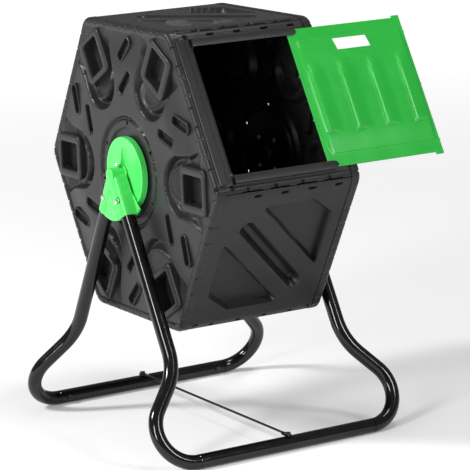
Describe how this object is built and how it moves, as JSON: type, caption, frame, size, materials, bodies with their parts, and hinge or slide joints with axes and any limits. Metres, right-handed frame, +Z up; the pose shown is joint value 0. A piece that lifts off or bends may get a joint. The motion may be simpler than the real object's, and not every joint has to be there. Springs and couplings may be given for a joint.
{
  "type": "compost tumbler",
  "caption": "Hexagonal black drum with a sliding door that turns on stub axles between green brackets, on a stand of bent tube.",
  "frame": {"origin": "middle of the footprint of the whole object, on the ground, with the door open as at rest", "axes": "+Z up; the drum turns about a line along X; the door's side faces -Y and the door opens towards +X"},
  "size_m": [0.5621, 0.5861, 0.7222],
  "materials": {
    "drum_plastic": "fine-textured black polypropylene, satin where it rounds over",
    "door_green": "satin green polypropylene",
    "hub_green": "satin bright green plastic",
    "black_tube": "gloss black powder coat on steel tube",
    "zinc_steel": "bright zinc plate",
    "black_steel": "black-coated screws, nearly lost against the tube",
    "bush_plastic": "natural acetal",
    "label_white": "blank white vinyl label"
  },
  "bodies": {
    "stand": {"axle_left": "zinc_steel", "axle_washer_left": "zinc_steel", "bracket_outer_left": "hub_green", "bracket_inner_left": "hub_green", "set_screw_left": "zinc_steel", "leg_screw_front_left": "zinc_steel", "front_leg_left": "black_tube", "joint_screw_front_left": "black_steel", "leg_screw_rear_left": "zinc_steel", "rear_leg_left": "black_tube", "joint_screw_rear_left": "black_steel", "axle_right": "zinc_steel", "axle_washer_right": "zinc_steel", "bracket_outer_right": "hub_green", "bracket_inner_right": "hub_green", "set_screw_right": "zinc_steel", "leg_screw_front_right": "zinc_steel", "front_leg_right": "black_tube", "joint_screw_front_right": "black_steel", "leg_screw_rear_right": "zinc_steel", "rear_leg_right": "black_tube", "joint_screw_rear_right": "black_steel", "front_floor_bar": "black_tube", "brace_screw_front": "black_steel", "rear_floor_bar": "black_tube", "brace_screw_rear": "black_steel", "brace_rod": "black_tube"},
    "drum": {"end_panel_left": "drum_plastic", "hub_disc_left": "hub_green", "hub_bush_left": "bush_plastic", "hub_screw_left_1": "zinc_steel", "hub_screw_left_2": "zinc_steel", "hub_screw_left_3": "zinc_steel", "hub_screw_left_4": "zinc_steel", "end_panel_right": "drum_plastic", "hub_disc_right": "hub_green", "hub_bush_right": "bush_plastic", "hub_screw_right_1": "zinc_steel", "hub_screw_right_2": "zinc_steel", "hub_screw_right_3": "zinc_steel", "hub_screw_right_4": "zinc_steel", "side_panel_top": "drum_plastic", "door_frame_panel": "drum_plastic", "side_panel_front_lower": "drum_plastic", "side_panel_bottom": "drum_plastic", "side_panel_rear_lower": "drum_plastic", "side_panel_rear_upper": "drum_plastic"},
    "door": {"sliding_door": "door_green", "door_label": "label_white"}
  },
  "joints": [
    {"name": "drum_turn", "type": "hinge", "parent": "stand", "child": "drum", "pos_m": [-0.03355, 0, 0.465], "axis": [1, 0, 0], "range_deg": [-175, 55]},
    {"name": "door_slide", "type": "slide", "parent": "drum", "child": "door", "axis": [1, 0, 0], "range_m": [-0.197, 0]}
  ]
}
